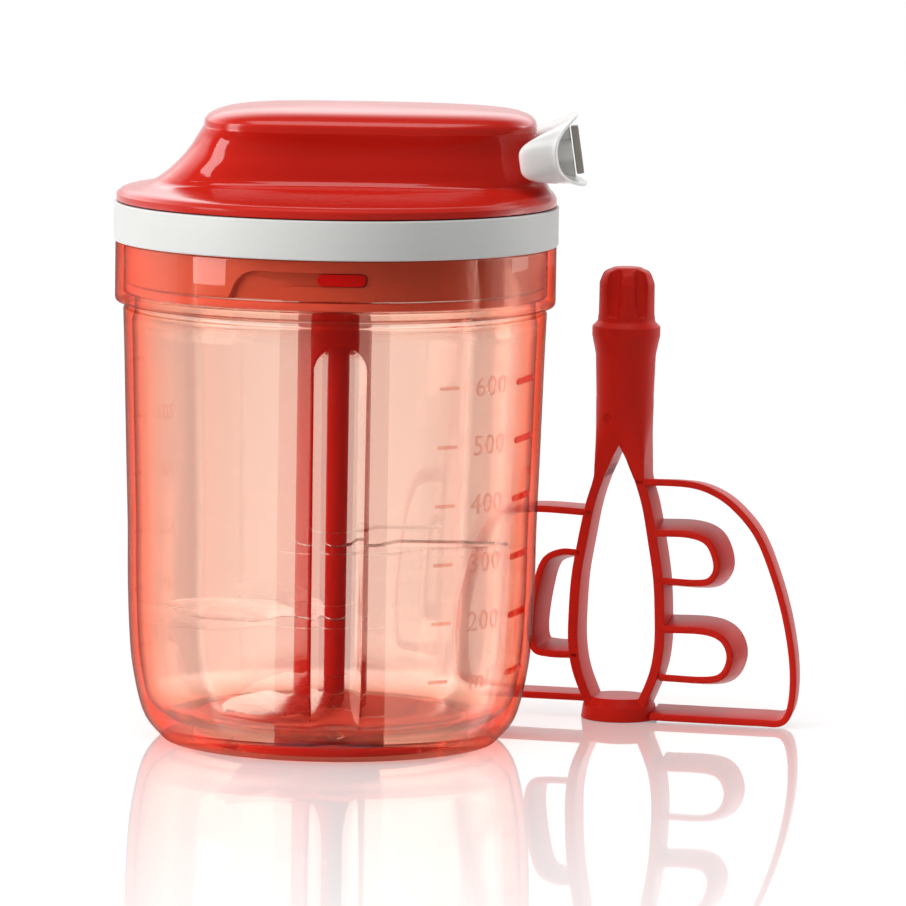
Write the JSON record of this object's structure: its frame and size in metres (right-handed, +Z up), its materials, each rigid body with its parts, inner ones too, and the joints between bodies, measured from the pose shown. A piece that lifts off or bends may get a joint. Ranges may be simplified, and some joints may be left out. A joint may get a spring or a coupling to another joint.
{
  "type": "manual food chopper",
  "caption": "Hand-pulled food chopper: clear round bowl, stacked blades on a column, domed cover with a cord grip, and a loose whisk insert.",
  "frame": {"origin": "on the table at the middle of the bowl's underside, on the blades' axis", "axes": "+Z up along the blades' axis, +X towards the pull grip, -Y towards the front of the bowl"},
  "size_m": [0.1711, 0.1084, 0.156],
  "materials": {
    "clear_red": "clear, light red tint, glossy",
    "red": "moulded, satin to glossy",
    "white": "moulded, glossy",
    "satin_white": "moulded, fine satin texture",
    "grey": "moulded, matte",
    "silicone": "moulded silicone, matte",
    "steel": "brushed stainless steel",
    "cord": "braided, off-white"
  },
  "bodies": {
    "bowl": {"bowl": "clear_red", "base_pad": "silicone", "pivot_pin": "steel"},
    "seal": {"seal_ring": "silicone"},
    "cover": {"cover_shell": "red", "cover_band": "satin_white", "base_plate": "red", "mechanism_plate": "grey", "spring_lid": "steel", "thrust_washer": "steel", "cover_screw_1": "steel", "cover_screw_2": "steel", "cover_screw_3": "steel", "recoil_spring": "steel", "reel_axle": "steel", "cord_eyelet": "steel", "pull_cord": "cord"},
    "pull_grip": {"pull_grip": "white", "grip_insert": "grey", "cord_ferrule": "steel"},
    "reel": {"reel": "white", "reel_flange": "white", "cord_winding": "cord", "pawl_disc": "white"},
    "drive": {"drive_shaft": "white", "shaft_clip": "steel"},
    "blade_unit": {"column_head": "red", "column_spacer_upper": "red", "column_spacer_lower": "red", "column_foot": "red", "column_core": "steel", "blade_upper": "steel", "blade_middle": "steel", "blade_lower": "steel"},
    "whisk": {"whisk_insert": "red"}
  },
  "joints": [
    {"name": "cover_lift", "type": "slide", "parent": "bowl", "child": "seal", "axis": [0, 0, 1], "range_m": [0, 0.15]},
    {"name": "cover_turn", "type": "hinge", "parent": "seal", "child": "cover", "pos_m": [0, 0, 0.1165], "axis": [0, 0, 1], "range_deg": [0, 22]},
    {"name": "grip_pull", "type": "slide", "parent": "cover", "child": "pull_grip", "axis": [0.989, 0, 0.1478], "range_m": [0, 0.3], "stiffness_N_per_m": 12, "springref_m": -0.2, "deforming": ["pull_cord"]},
    {"name": "reel_spin", "type": "hinge", "parent": "cover", "child": "reel", "pos_m": [0, 0, 0.144], "axis": [0, 0, 1], "continuous": true, "deforming": ["recoil_spring"]},
    {"name": "drive_spin", "type": "hinge", "parent": "cover", "child": "drive", "pos_m": [0, 0, 0.1205], "axis": [0, 0, 1], "continuous": true},
    {"name": "blade_spin", "type": "hinge", "parent": "bowl", "child": "blade_unit", "pos_m": [0, 0, 0.012], "axis": [0, 0, 1], "continuous": true},
    {"name": "whisk_lift", "type": "slide", "parent": "bowl", "child": "whisk", "axis": [0, 0, 1], "range_m": [0, 0.05]}
  ],
  "couplings": [
    {"joint": "reel_spin", "follows": "grip_pull", "rad_per_m": 64.516},
    {"joint": "drive_spin", "follows": "grip_pull", "rad_per_m": 64.516},
    {"joint": "blade_spin", "follows": "grip_pull", "rad_per_m": 64.516}
  ]
}
